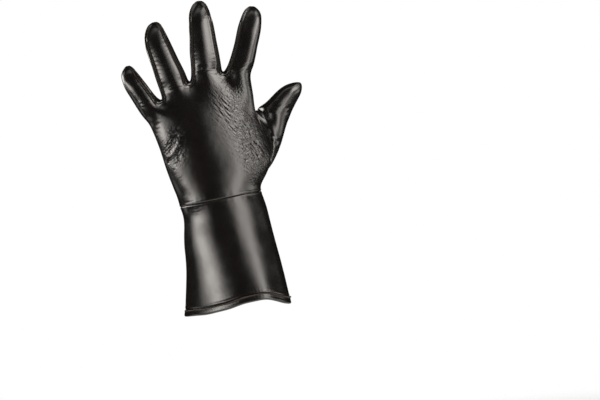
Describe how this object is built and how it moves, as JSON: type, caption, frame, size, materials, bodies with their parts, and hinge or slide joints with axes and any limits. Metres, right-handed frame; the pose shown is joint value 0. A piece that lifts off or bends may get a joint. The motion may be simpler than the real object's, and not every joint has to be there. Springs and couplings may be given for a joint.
{
  "type": "costume gauntlet glove",
  "caption": "Long costume gauntlet for the left hand: glossy leather hand with finger strips and a set-in thumb, sewn to a flared cuff with a turned hem.",
  "frame": {"origin": "the middle of the wrist seam, between the hand and the cuff, where the wearer's wrist is", "axes": "+Z runs from the wrist to the fingertips, +X to the thumb side, and -Y is the back of the hand"},
  "size_m": [0.1819, 0.0886, 0.3217],
  "materials": {
    "leather": "gloss",
    "thread": "matte"
  },
  "bodies": {
    "root": {"trank": "leather", "fourchette_little_ring": "leather", "fourchette_ring_middle": "leather", "fourchette_middle_index": "leather", "thumb": "leather", "cuff": "leather"}
  },
  "joints": []
}
